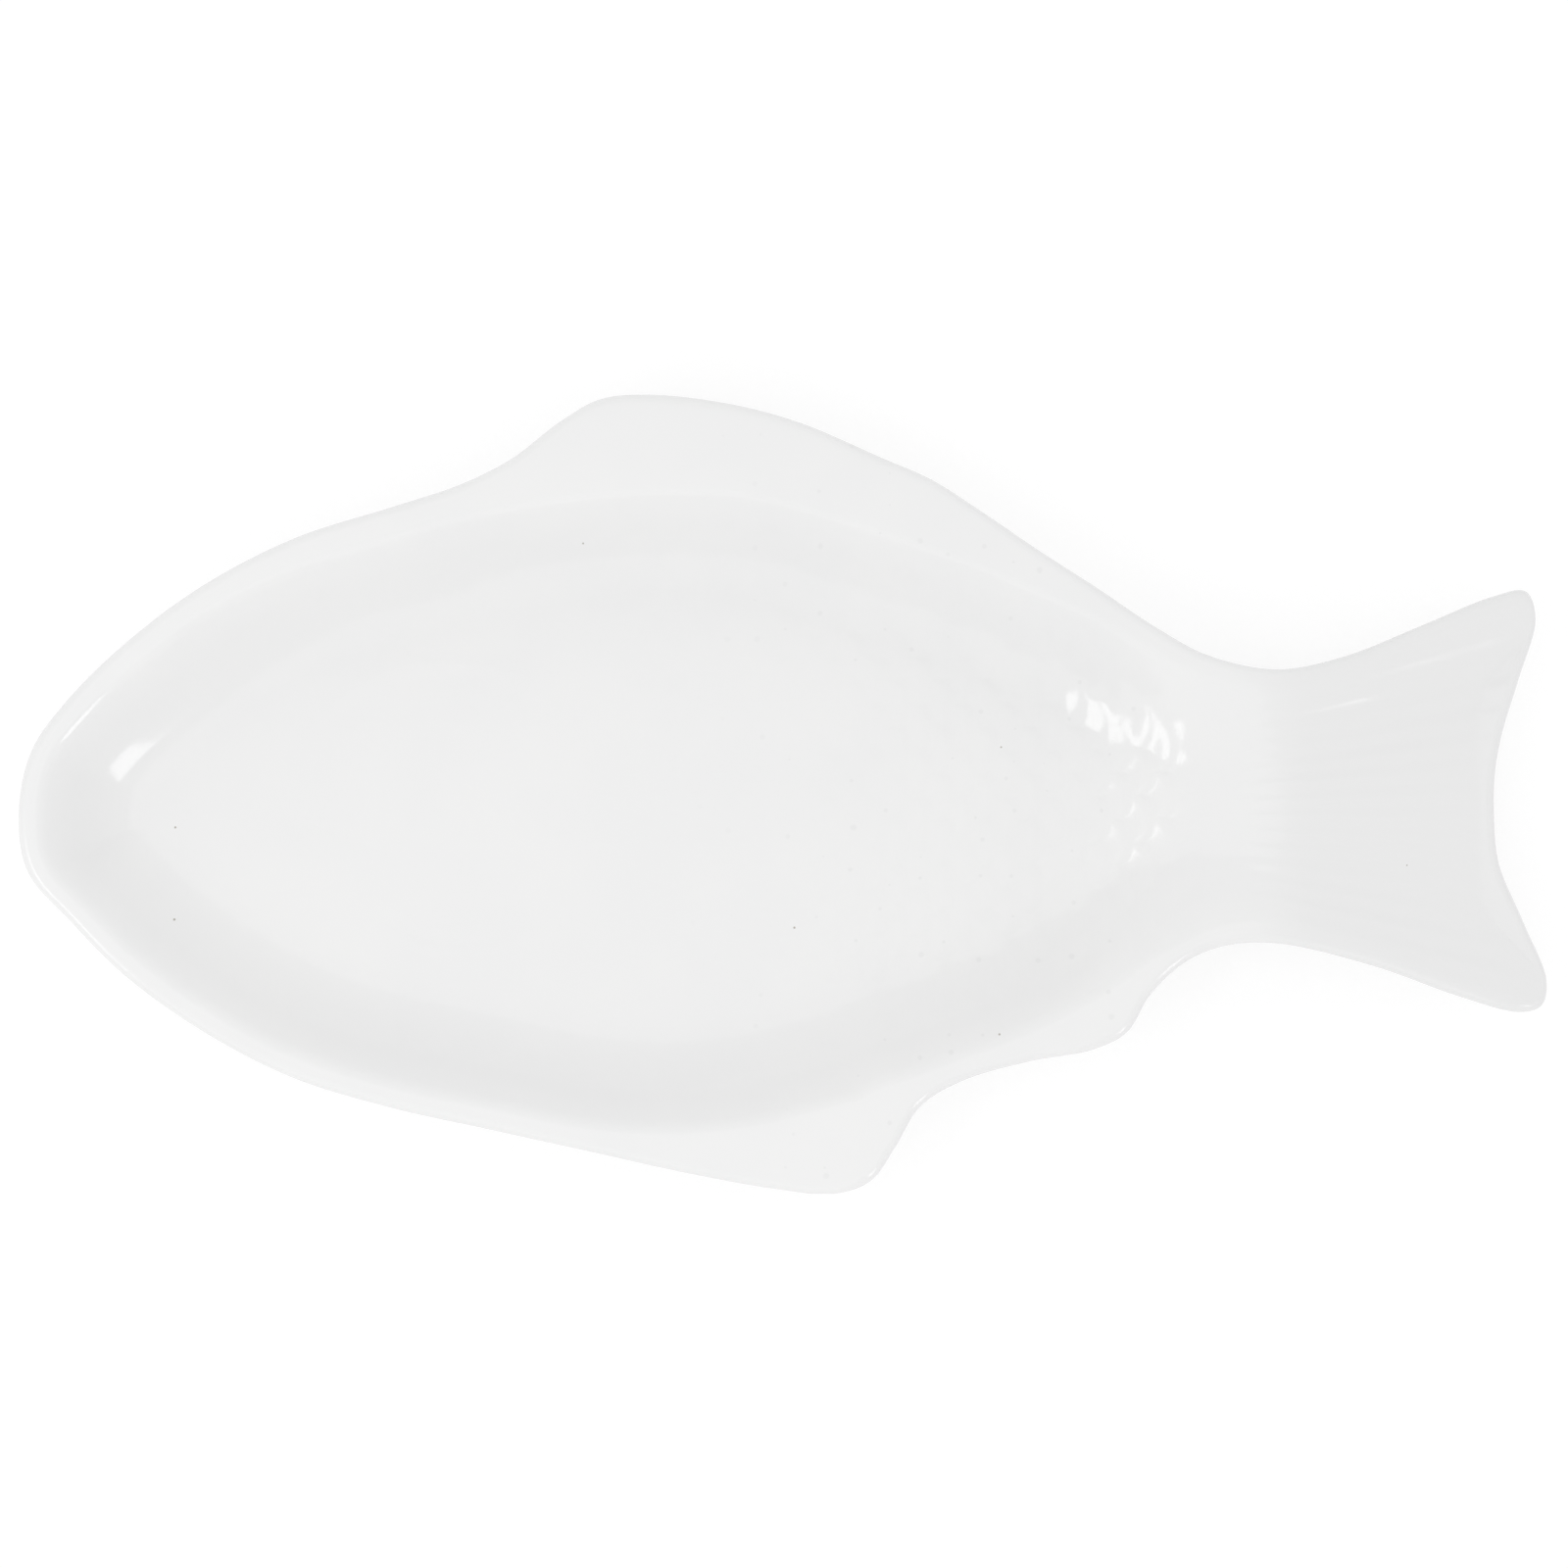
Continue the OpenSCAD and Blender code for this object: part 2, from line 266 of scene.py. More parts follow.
@dataclass(frozen=True)
class PlatterSizes:
    """Driving sizes of the platter in metres, the same as in the CAD source."""

    length: float = 356 * MM
    width: float = 186 * MM
    height: float = 25 * MM
    floor_thickness: float = 4.2 * MM
    rim_thickness: float = 3.2 * MM
    wall_run: float = 24 * MM
    tail_rise: float = 11.5 * MM
    tail_droop: float = 6 * MM
    tail_wall_run: float = 22 * MM
    rim_droop: float = 5.5 * MM
    foot_height: float = 4.8 * MM
    foot_width: float = 4.6 * MM
    foot_inset: float = 2.2 * MM
    glaze: float = 0.4 * MM

    @property
    def floor_z(self) -> float:
        """Height of the well's glazed floor."""
        return self.foot_height + self.floor_thickness + self.glaze

    @property
    def lip_radius(self) -> float:
        """Half the glazed thickness of the rim."""
        return self.rim_thickness / 2 + self.glaze

    def place(self, x_share: float, y_share: float) -> tuple[float, float]:
        """A plan point from shares of the length and the width."""
        return x_share * self.length, y_share * self.width


@dataclass(frozen=True)
class FishOutline:
    """Stations of the outline, each with its place and the land inside its edge, as shares.

    A station holds its place along the length, its place across the width, and the distance
    from the edge in to the top of the well's wall, where a minus lies past the edge. Middle
    gives, for the nose, each dorsal station and the tail's end, the place along the length on
    the middle line that the rings run to. The floor climbs between climb's two places. The tail
    droops round a point at fan, softly over crest's share of its fall. The rest are shares of
    the wall's run and width, of the foot's oval, and of the rim.
    """

    nose: tuple = (-0.5, -0.024, 0.02)
    tail_end: tuple = (0.466, -0.024, -0.074)
    dorsal: tuple = (
        (-0.492, 0.052, 0.02), (-0.471, 0.111, 0.021), (-0.433, 0.184, 0.025),
        (-0.382, 0.258, 0.028), (-0.321, 0.319, 0.033), (-0.256, 0.359, 0.036),
        (-0.212, 0.387, 0.039), (-0.179, 0.419, 0.057), (-0.147, 0.466, 0.094),
        (-0.121, 0.494, 0.117), (-0.09, 0.5, 0.121), (-0.038, 0.489, 0.112),
        (0.008, 0.466, 0.107), (0.064, 0.42, 0.092), (0.096, 0.393, 0.085),
        (0.128, 0.354, 0.069), (0.167, 0.303, 0.05), (0.205, 0.256, 0.034),
        (0.244, 0.206, 0.025), (0.276, 0.173, 0.02), (0.321, 0.155, 0.02),
        (0.365, 0.171, 0.022), (0.417, 0.211, 0.022), (0.465, 0.249, 0.022),
        (0.487, 0.256, 0.012), (0.494, 0.221, -0.049), (0.483, 0.147, -0.074),
        (0.472, 0.08, -0.074), (0.467, 0.031, -0.074),
    )
    ventral: tuple = (
        (-0.494, -0.098, 0.02), (-0.466, -0.16, 0.02), (-0.429, -0.23, 0.022),
        (-0.378, -0.299, 0.023), (-0.321, -0.355, 0.023), (-0.256, -0.393, 0.023),
        (-0.192, -0.42, 0.024), (-0.128, -0.447, 0.027), (-0.064, -0.474, 0.048),
        (-0.006, -0.494, 0.08), (0.032, -0.5, 0.103), (0.056, -0.484, 0.1),
        (0.072, -0.442, 0.076), (0.088, -0.392, 0.037), (0.115, -0.36, 0.025),
        (0.16, -0.335, 0.032), (0.2, -0.321, 0.054), (0.223, -0.299, 0.059),
        (0.238, -0.253, 0.037), (0.26, -0.213, 0.022), (0.285, -0.192, 0.02),
        (0.321, -0.188, 0.02), (0.385, -0.216, 0.022), (0.442, -0.254, 0.022),
        (0.481, -0.273, 0.017), (0.496, -0.265, -0.037), (0.5, -0.233, -0.061),
        (0.485, -0.16, -0.074), (0.469, -0.086, -0.074),
    )
    middle: tuple = (
        -0.385, -0.383, -0.377, -0.365, -0.343, -0.304, -0.256, -0.202, -0.154, -0.106, -0.064,
        -0.029, 0.01, 0.04, 0.076, 0.106, 0.144, 0.183, 0.208, 0.231, 0.253, 0.276,
        0.296, 0.314, 0.328, 0.34, 0.349, 0.356, 0.362, 0.367, 0.371,
    )
    middle_line: float = -0.024
    climb: tuple = (0.165, 0.312)
    fan: float = 0.2
    crest: float = 0.25
    round_over: float = 0.1
    sweep: float = 0.65
    well_half: float = 0.393
    foot_taper: float = 0.12
    foot_front: float = 0.02
    foot_stations: int = 19
    wall_reach: float = 0.75
    wall_offset: float = 0.55
    crown: float = 0.6

    def stations(self, sizes: PlatterSizes) -> Array:
        """All stations in metres, from the nose over the dorsal side and back."""
        rows = [self.nose, *self.dorsal, self.tail_end, *reversed(self.ventral)]
        return np.array(rows) * [sizes.length, sizes.width, sizes.width]


# Pressed relief


@dataclass(frozen=True)
class Scales:
    """Shingled scales behind the gill, each convex towards the tail.

    Two sets of columns stand half a pitch apart. In each, a domed scale rises along the column
    and falls a little faster at its round edge, as the square of a sine, and the higher set
    shows. The scales grow deeper between crisp_x's two places along the length.
    """

    sizes: PlatterSizes
    pitch: float = 10.4 * MM
    column: float = 11 * MM
    radius: float = 6.2 * MM
    depth: float = 0.15 * MM
    skew: float = 1.5
    across: float = 0.4
    crisp: float = 2.1
    crisp_x: tuple = (-0.02, 0.12)
    level: float = 0.7
    span_x: tuple = (-0.1, 0.245)
    span_y: tuple = (-0.21, 0.36)
    soft: float = 14 * MM

    def height(self, x: Array, y: Array) -> Array:
        """Height of the scales at each point, measured from a level share of their depth.

        Args:
            x: Places along the length.
            y: Places across the width.

        Returns:
            Heights, above zero near the middle of a scale and below it between them.
        """
        top = np.zeros_like(x)
        for set_share in (0.0, 0.5):
            column = y / self.column + set_share
            off = (column - np.round(column)) * self.column
            edge = np.sqrt(self.radius**2 - off**2) - self.radius
            run = (x - edge) / self.pitch + set_share
            share = run - np.floor(run)
            dome = 1.0 - self.across * (2 * off / self.column) ** 2
            top = np.maximum(top, np.sin(math.pi * share**self.skew) ** 2 * dome)
        low, high = (self.sizes.place(*corner) for corner in zip(self.span_x, self.span_y))
        shown = window(x, low[0], high[0], self.soft) * window(y, low[1], high[1], self.soft)
        start, end = (share * self.sizes.length for share in self.crisp_x)
        depth = self.depth * mix(1.0, self.crisp, ease((x - start) / (end - start)))
        return depth * (top - self.level) * shown


@dataclass(frozen=True)
class Ridge:
    """A soft raised line through points given as shares of the length and the width."""

    path: tuple
    width: float
    rise: float
    steps: int = 6

    def height(self, sizes: PlatterSizes, points: Array) -> Array:
        """Rise times the bell curve of the distance from the line over its width.

        Args:
            sizes: Sizes that the path's shares are taken of.
            points: Rows of x, y.

        Returns:
            One height for each point.
        """
        corners = np.array(self.path) * [sizes.length, sizes.width]
        ends = np.vstack([2 * corners[0] - corners[1], corners, 2 * corners[-1] - corners[-2]])
        drawn = closed_spline(ends, self.steps)[self.steps : -2 * self.steps + 1]
        away = distance_to_line(points, drawn, closed=False)
        return self.rise * np.exp(-((away / self.width) ** 2))


@dataclass(frozen=True)
class HeadLines:
    """The gill's two arcs, the line below them, the mouth and the eye."""

    sizes: PlatterSizes
    lines: tuple = (
        Ridge(((-0.298, 0.117), (-0.256, 0.16), (-0.212, 0.166), (-0.173, 0.147),
               (-0.147, 0.086), (-0.138, 0.012), (-0.144, -0.061), (-0.163, -0.135),
               (-0.192, -0.178), (-0.237, -0.178), (-0.263, -0.154)), 1.5 * MM, 0.14 * MM),
        Ridge(((-0.237, 0.129), (-0.199, 0.135), (-0.167, 0.086), (-0.147, 0.043)),
              1.2 * MM, 0.1 * MM),
        Ridge(((-0.231, 0.037), (-0.192, -0.037), (-0.173, -0.086), (-0.167, -0.111)),
              1.2 * MM, 0.1 * MM),
        Ridge(((-0.314, -0.034), (-0.285, -0.056), (-0.256, -0.074)), 1.2 * MM, -0.12 * MM),
    )
    eye: tuple = (-0.273, 0.066)
    eye_radius: float = 5.2 * MM
    eye_width: float = 1.3 * MM
    eye_rise: float = 0.12 * MM

    def height(self, points: Array) -> Array:
        """The sum of the lines and of a soft ring with a low dome for the eye.

        Args:
            points: Rows of x, y.

        Returns:
            One height for each point.
        """
        total = sum(line.height(self.sizes, points) for line in self.lines)
        away = np.linalg.norm(points - np.array(self.sizes.place(*self.eye)), axis=-1)
        ring = np.exp(-(((away - self.eye_radius) / self.eye_width) ** 2))
        dome = np.exp(-((away / (self.eye_radius / 2)) ** 2))
        return total + self.eye_rise * (ring + dome)


@dataclass(frozen=True)
class TailRibs:
    """Fine ribs that fan out along the tail from a point in front of it."""

    sizes: PlatterSizes
    root: tuple = (0.06, -0.03)
    turn: float = math.radians(2.35)
    rise: float = 0.18 * MM
    span_x: tuple = (0.315, 0.462)
    spread: float = math.radians(17)
    spread_soft: float = math.radians(4.25)
    soft: float = 9 * MM

    def height(self, x: Array, y: Array) -> Array:
        """Rise times a raised cosine of the angle round the root, within the tail.

        Args:
            x: Places along the length.
            y: Places across the width.

        Returns:
            Heights, zero or more.
        """
        root_x, root_y = self.sizes.place(*self.root)
        angle = np.arctan2(y - root_y, x - root_x)
        low, high = (share * self.sizes.length for share in self.span_x)
        shown = window(x, low, high, self.soft)
        shown *= window(angle, -self.spread, self.spread, self.spread_soft)
        return self.rise * 0.5 * (1.0 + np.cos(angle / self.turn * math.tau)) * shown


@dataclass(frozen=True)
class FinGrooves:
    """Shallow grooves across the flat fins, slanted towards the tail."""

    sizes: PlatterSizes
    pitch: float = 6.4 * MM
    slant: float = 0.55
    depth: float = 0.06 * MM
    narrow: int = 3
    edge: float = 3 * MM

    def height(self, x: Array, y: Array, deep: Array, reach: Array) -> Array:
        """Minus the depth times a narrow cosine line, on the land between edge and well.

        Args:
            x: Places along the length.
            y: Places across the width.
            deep: Distance inside the well's wall top, below zero on the land.
            reach: Distance inside the platter's edge.

        Returns:
            Heights, zero or less.
        """
        run = (x - self.slant * np.abs(y)) / self.pitch
        line = (0.5 + 0.5 * np.cos(run * math.tau)) ** self.narrow
        shown = ease(-deep / self.edge) * ease((reach - self.sizes.lip_radius) / self.edge)
        return -self.depth * line * shown


# The platter's surface


@dataclass
class FishSurface:
    """The glazed surface of the platter, as heights over its plan and as rings of points."""

    sizes: PlatterSizes
    outline: FishOutline
    steps: int = 10

    def __post_init__(self) -> None:
        """Works out the edge, the crown of the lip, the well's wall and the foot."""
        sizes, outline = self.sizes, self.outline
        drawn = closed_spline(outline.stations(sizes), self.steps)
        self.count = len(drawn)
        self.half = self.count // 2
        half_box = np.array([sizes.length, sizes.width]) / 2
        edge, land = np.clip(drawn[:, :2], -half_box, half_box), drawn[:, 2:]
        along = unit(np.roll(edge, -1, 0) - np.roll(edge, 1, 0))
        self.inward = np.stack([along[:, 1], -along[:, 0]], -1)
        self.edge = edge
        self.index = np.minimum(np.arange(self.count), self.count - np.arange(self.count))
        self.middle_y = outline.middle_line * sizes.width
        marks = np.arange(len(outline.middle)) * self.steps
        places = np.array(outline.middle) * sizes.length
        middle_x = np.interp(np.arange(self.half + 1), marks, places)
        self.middle_line = np.stack([middle_x, np.full(self.half + 1, self.middle_y)], -1)
        self.middle = self.middle_line[self.index]
        self.crown = edge + self.inward * sizes.lip_radius
        self.wall_top = edge + unit(self.middle - edge) * land
        self.aim = unit(self.middle - self.crown)
        first = np.maximum(land - sizes.lip_radius, sizes.lip_radius * outline.crown)
        self.wall_start = self.crown + self.aim * first
        self.climb_x = np.array(outline.climb) * sizes.length
        self.wall_offset = outline.wall_offset * sizes.rim_thickness
        span = np.linalg.norm(self.middle - self.wall_start, axis=-1)
        run = self.run_at(self.wall_start[:, 0])
        self.reach = np.minimum(run, outline.wall_reach * span)[:, None]
        self._set_foot()

    def _set_foot(self) -> None:
        """Works out the foot ring's oval and where the underside ends on it."""
        sizes, outline = self.sizes, self.outline
        well_front = -sizes.length / 2 + sizes.wall_run + outline.foot_front * sizes.length
        front = well_front + sizes.foot_inset
        back = self.climb_x[0] - sizes.foot_inset
        self.foot_centre = (front + back) / 2
        self.foot_half_length = (back - front) / 2
        self.foot_half_width = outline.well_half * sizes.width - sizes.wall_run - sizes.foot_inset
        self.foot_pairs = outline.foot_stations * self.steps
        self.foot_count = 2 * self.foot_pairs
        behind = np.arange(self.foot_pairs + 1, self.half + 1) - self.foot_pairs
        share = behind / (self.half - self.foot_pairs)
        tail_x = mix(back, self.middle_line[self.half, 0], share)
        self.tail_middle = np.stack([tail_x, np.full(len(tail_x), self.middle_y)], -1)
        point = np.arange(self.count)
        on_foot = np.where(point <= self.half, self.index, (self.foot_count - self.index))
        past = self.foot_count + self.index - self.foot_pairs - 1
        on_tail = self.index > self.foot_pairs
        self.under_end = np.where(on_tail, past, on_foot % self.foot_count)

    def foot_loop(self, inset: float) -> Array:
        """The foot ring's oval, a cosine by a sine and fuller at the back.

        Args:
            inset: Distance inside the ring's outer edge.

        Returns:
            Rows of x, y, the first at the front.
        """
        turn = np.arange(self.foot_count) * math.pi / self.foot_pairs
        place = -np.cos(turn)
        across = np.sin(turn) * (1.0 + self.outline.foot_taper * place)
        x = self.foot_centre + (self.foot_half_length - inset) * place
        return np.stack([x, self.middle_y + (self.foot_half_width - inset) * across], -1)

    def climbed(self, x: Array) -> Array:
        """Share of the climb from the well's floor to the tail's crest."""
        return ease((x - self.climb_x[0]) / (self.climb_x[1] - self.climb_x[0]))

    def drooped(self, plan: Array) -> Array:
        """Share of the tail's droop, by the distance from a point ahead of its crest.

        It sets in smoothly along the length from that point to the crest.

        Args:
            plan: Points whose last axis is x, y.

        Returns:
            Shares, zero up to the crest's distance from that point.
        """
        outline, length = self.outline, self.sizes.length
        root, crest = outline.fan * length, self.climb_x[1]
        away = np.hypot(plan[..., 0] - root, plan[..., 1] - self.middle_y) - crest + root
        share = droop(away / (outline.tail_end[0] * length - crest), outline.crest)
        return share * ease((plan[..., 0] - root) / (crest - root))

    def floor_at(self, plan: Array) -> Array:
        """Height of the well's floor, the climb and the drooping tail."""
        rise = self.sizes.tail_rise * self.climbed(plan[..., 0])
        return self.sizes.floor_z + rise - self.sizes.tail_droop * self.drooped(plan)

    def rim_at(self, plan: Array) -> Array:
        """Height of the rim, which droops along the tail."""
        return self.sizes.height - self.sizes.rim_droop * self.drooped(plan)

    def sunk(self, deep: Array, x: Array) -> Array:
        """Share of the wall's fall at a depth inside its top."""
        return fall(deep / self.run_at(x), self.outline.round_over, self.outline.sweep)

    def run_at(self, x: Array) -> Array:
        """Run of the wall in plan, which narrows along the climb."""
        return mix(self.sizes.wall_run, self.sizes.tail_wall_run, self.climbed(x))

    def depth_in_well(self, plan: Array) -> Array:
        """Distance inside the top of the well's wall, below zero on the land."""
        flat = plan.reshape(-1, 2)
        return distance_to_line(flat, self.wall_top, closed=True).reshape(plan.shape[:-1])

    def top_height(self, plan: Array, deep: Array) -> Array:
        """Glazed top: from the rim down to the floor by the wall's fall."""
        return mix(self.rim_at(plan), self.floor_at(plan), self.sunk(deep, plan[..., 0]))

    def under_height(self, plan: Array, deep: Array) -> Array:
        """Glazed underside: the top moved outwards by the offset, less clay and two coats.

        Args:
            plan: Points whose last axis is x, y.
            deep: Their distance inside the top of the well's wall.

        Returns:
            One height for each point.
        """
        sizes, x = self.sizes, plan[..., 0]
        sunk = self.sunk(deep + self.wall_offset, x)
        clay = mix(sizes.rim_thickness, sizes.floor_thickness, sunk * (1.0 - self.climbed(x)))
        return mix(self.rim_at(plan), self.floor_at(plan), sunk) - clay - 2 * sizes.glaze

    def top_plan(self, land: Array, wall: Array, floor: Array) -> Array:
        """Rings of the top in plan, from the lip's crown towards the middle line.

        Args:
            land: Shares of the way from the crown to the wall's start, the last being one.
            wall: Shares of the wall's reach at which rings are drawn, the last being one.
            floor: Shares of the way from the wall's end to the middle line.

        Returns:
            An array of rings, points and x, y.
        """
        down = self.wall_start + self.aim * wall[:, None, None] * self.reach
        across = mix(down[-1], self.middle, floor[:, None, None])
        lands = mix(self.crown, self.wall_start, land[:, None, None])
        return np.concatenate([self.crown[None], lands, down, across])

    def under_plan(self, wall: Array, flat: Array) -> Array:
        """Rings of the underside in plan, from the lip's crown towards where it ends.

        Args:
            wall: Shares of the wall's reach at which rings are drawn, the last being one.
            flat: Shares of the way from the wall's end to the foot or the tail's middle line.

        Returns:
            An array of rings, points and x, y.
        """
        reach = np.maximum(self.reach - self.wall_offset, self.wall_offset)
        down = self.wall_start + self.aim * wall[:, None, None] * reach
        ends = np.vstack([self.foot_loop(0.0), self.tail_middle])[self.under_end]
        across = mix(down[-1], ends, flat[:, None, None])
        return np.concatenate([self.crown[None], down, across])


@dataclass(frozen=True)
class SkinDetail:
    """How finely a skin is drawn, by its rings on each stretch from the top to the foot."""

    wall: int
    floor: int
    under_wall: int
    under_flat: int
    lip_turns: int
    land: int = 1


@dataclass
class Skin:
    """A skin at a depth under the glazed surface, from the foot over the lip to the middle."""

    surface: FishSurface
    detail: SkinDetail
    depth: float
    relief: tuple = ()
    fade: float = 6 * MM

    def _lifted(self, plan: Array, z: Array) -> Array:
        """Plan points with their heights."""
        return np.concatenate([plan, z[..., None]], -1)

    def _relief_at(self, plan: Array, deep: Array) -> Array:
        """Sum of the pressed relief, of which only the fins' grooves lie outside the well.

        The rest fades in from the top of the well's wall.

        Args:
            plan: Points whose last axis is x, y.
            deep: Their distance inside the top of the well's wall.

        Returns:
            One height for each point.
        """
        if not self.relief:
            return np.zeros(plan.shape[:-1])
        x, y = plan[..., 0], plan[..., 1]
        scales, head, ribs, grooves = self.relief
        inside = ease(deep / self.fade)
        flat = plan.reshape(-1, 2)
        total = (scales.height(x, y) + ribs.height(x, y)) * inside
        total += head.height(flat).reshape(x.shape) * inside
        reach = distance_to_line(flat, self.surface.edge, closed=True).reshape(x.shape)
        return total + grooves.height(x, y, deep, reach)

    def build(self) -> tuple[Array, Array]:
        """Works out the skin's points and quads.

        The rings run from the underside's inner ring over the lip, a half ellipse between the
        underside and the top, to the last ring of the floor. Then follow the foot's oval, the
        tail's middle line below, and the middle line above.

        Returns:
            The points and the quads.
        """
        fish, detail, sizes = self.surface, self.detail, self.surface.sizes
        land, wall = (np.arange(1, rings + 1) / rings for rings in (detail.land, detail.wall))
        floor = np.arange(1, detail.floor) / detail.floor
        top_plan = fish.top_plan(land, wall, floor)
        under_wall = np.arange(1, detail.under_wall + 1) / detail.under_wall
        under_flat = np.arange(1, detail.under_flat) / detail.under_flat
        under_plan = fish.under_plan(under_wall, under_flat)
        deep_top, deep_under = fish.depth_in_well(top_plan), fish.depth_in_well(under_plan)
        top_z = fish.top_height(top_plan, deep_top) - self.depth
        top_z += self._relief_at(top_plan, deep_top)
        under_z = fish.under_height(under_plan, deep_under) + self.depth
        turn = np.linspace(-90, 90, detail.lip_turns + 1)[1:-1, None] * math.pi / 180
        out = (sizes.lip_radius - self.depth) * np.cos(turn)
        lip_plan = fish.crown[None] - fish.inward[None] * out[..., None]
        lip_z = mix(under_z[0], top_z[0], (1 + np.sin(turn)) / 2)
        rings = np.concatenate([
            self._lifted(under_plan, under_z)[::-1],
            self._lifted(lip_plan, lip_z),
            self._lifted(top_plan, top_z),
        ])
        foot = fish.foot_loop(0.0)
        foot_z = np.full(len(foot), sizes.foot_height - sizes.glaze + self.depth)
        deep_tail = fish.depth_in_well(fish.tail_middle)
        tail_z = fish.under_height(fish.tail_middle, deep_tail) + self.depth
        deep_middle = fish.depth_in_well(fish.middle_line)
        middle_z = fish.top_height(fish.middle_line, deep_middle) - self.depth
        middle_z += self._relief_at(fish.middle_line, deep_middle)
        points = np.vstack([
            rings.reshape(-1, 3),
            self._lifted(foot, foot_z),
            self._lifted(fish.tail_middle, tail_z),
            self._lifted(fish.middle_line, middle_z),
        ])
        foot_first = len(rings) * fish.count
        middle_first = foot_first + len(foot) + len(fish.tail_middle)
        point, ahead = neighbours(fish.count)
        last, middle = foot_first - fish.count, middle_first + fish.index
        to_middle = np.stack([last + point, last + ahead, middle[ahead], middle], -1)
        end = foot_first + fish.under_end
        to_foot = np.stack([end, end[ahead], ahead, point], -1)
        quads = np.vstack([to_foot, ring_quads(len(rings), fish.count), to_middle])
        self.foot_first = foot_first
        return points, quads[:, ::-1]


# Finishes


class NodeMaker:
    """Adds and links shader nodes in one tree."""

    def __init__(self, tree: bpy.types.NodeTree) -> None:
        """Keeps the tree that nodes are added to."""
        self.tree = tree

    def add(self, kind: str, values: dict | None = None, **settings: object) -> bpy.types.Node:
        """Adds a node.

        Args:
            kind: Blender's type of the node.
            values: Values or sockets for its inputs, by name or number.
            **settings: Settings of the node itself.

        Returns:
            The node.
        """
        node = self.tree.nodes.new(kind)
        for name, value in settings.items():
            setattr(node, name, value)
        for name, value in (values or {}).items():
            socket = node.inputs[name]
            if isinstance(value, bpy.types.NodeSocket):
                self.tree.links.new(value, socket)
            else:
                socket.default_value = value
        return node

    def math(self, operation: str, *inputs: Value) -> bpy.types.NodeSocket:
        """A Math node's result, from values or sockets."""
        return self.add("ShaderNodeMath", dict(enumerate(inputs)), operation=operation).outputs[0]

    def ramp(
        self, value: Value, low: float, high: float, start: float = 0.0, end: float = 1.0
    ) -> bpy.types.NodeSocket:
        """A smooth Map Range.

        Args:
            value: What is mapped.
            low: Value at which the result starts to leave start.
            high: Value at which it reaches end.
            start: Result up to low.
            end: Result past high.

        Returns:
            The result's socket.
        """
        node = self.add(
            "ShaderNodeMapRange",
            {"Value": value, "From Min": low, "From Max": high, "To Min": start, "To Max": end},
            interpolation_type="SMOOTHSTEP",
        )
        return node.outputs["Result"]

    def blend(self, share: Value, first: Value, second: Value) -> bpy.types.NodeSocket:
        """A colour's socket, mixed from a first and a second one by a share of the second."""
        values = {0: share, 6: first, 7: second}
        return self.add("ShaderNodeMix", values, data_type="RGBA").outputs[2]

    def effect(
        self, group: bpy.types.NodeTree, values: tuple
    ) -> bpy.types.bpy_prop_collection:
        """Places a shared group on the object's own coordinates.

        Args:
            group: The group, whose first input is a vector.
            values: Its float inputs in order.

        Returns:
            The outputs of the group's node.
        """
        place = self.add("ShaderNodeTexCoord").outputs["Object"]
        inputs = {0: place, **dict(enumerate(values, 1))}
        return self.add("ShaderNodeGroup", inputs, node_tree=group).outputs

    def surface(
        self, colour: Value, rough: Value, height: Value, distance: float, strength: float
    ) -> None:
        """Ends a material with a Principled shader over a bump.

        Args:
            colour: Base colour.
            rough: Roughness.
            height: Height of the bump.
            distance: Distance that a height of one stands for.
            strength: Strength of the bump.
        """
        bump = self.add("ShaderNodeBump",
                        {"Height": height, "Distance": distance, "Strength": strength})
        values = {"Base Color": colour, "Roughness": rough, "Normal": bump.outputs["Normal"]}
        shader = self.add("ShaderNodeBsdfPrincipled", {**values, "IOR": 1.5})
        self.add("ShaderNodeOutputMaterial", {"Surface": shader.outputs[0]})


def empty_nodes(owner: bpy.types.Material | bpy.types.World) -> NodeMaker:
    """Clears the shader nodes of a material or a world.

    Args:
        owner: What has the nodes.

    Returns:
        A node maker for its empty tree.
    """
    owner.use_nodes = True
    owner.node_tree.nodes.clear()
    return NodeMaker(owner.node_tree)


def open_group(name: str, inputs: dict[str, float], outputs: tuple) -> NodeMaker:
    """Starts a shader node group with a vector, float inputs and float outputs.

    Args:
        name: Name of the group.
        inputs: Default values of the float inputs by name.
        outputs: Names of the float outputs.

    Returns:
        A node maker whose tree is the group.
    """
    tree = bpy.data.node_groups.new(name, "ShaderNodeTree")
    sockets, kind = tree.interface, "NodeSocketFloat"
    sockets.new_socket("Vector", in_out="INPUT", socket_type="NodeSocketVector")
    for label, value in inputs.items():
        sockets.new_socket(label, in_out="INPUT", socket_type=kind).default_value = value
    for label in outputs:
        sockets.new_socket(label, in_out="OUTPUT", socket_type=kind)
    return NodeMaker(tree)


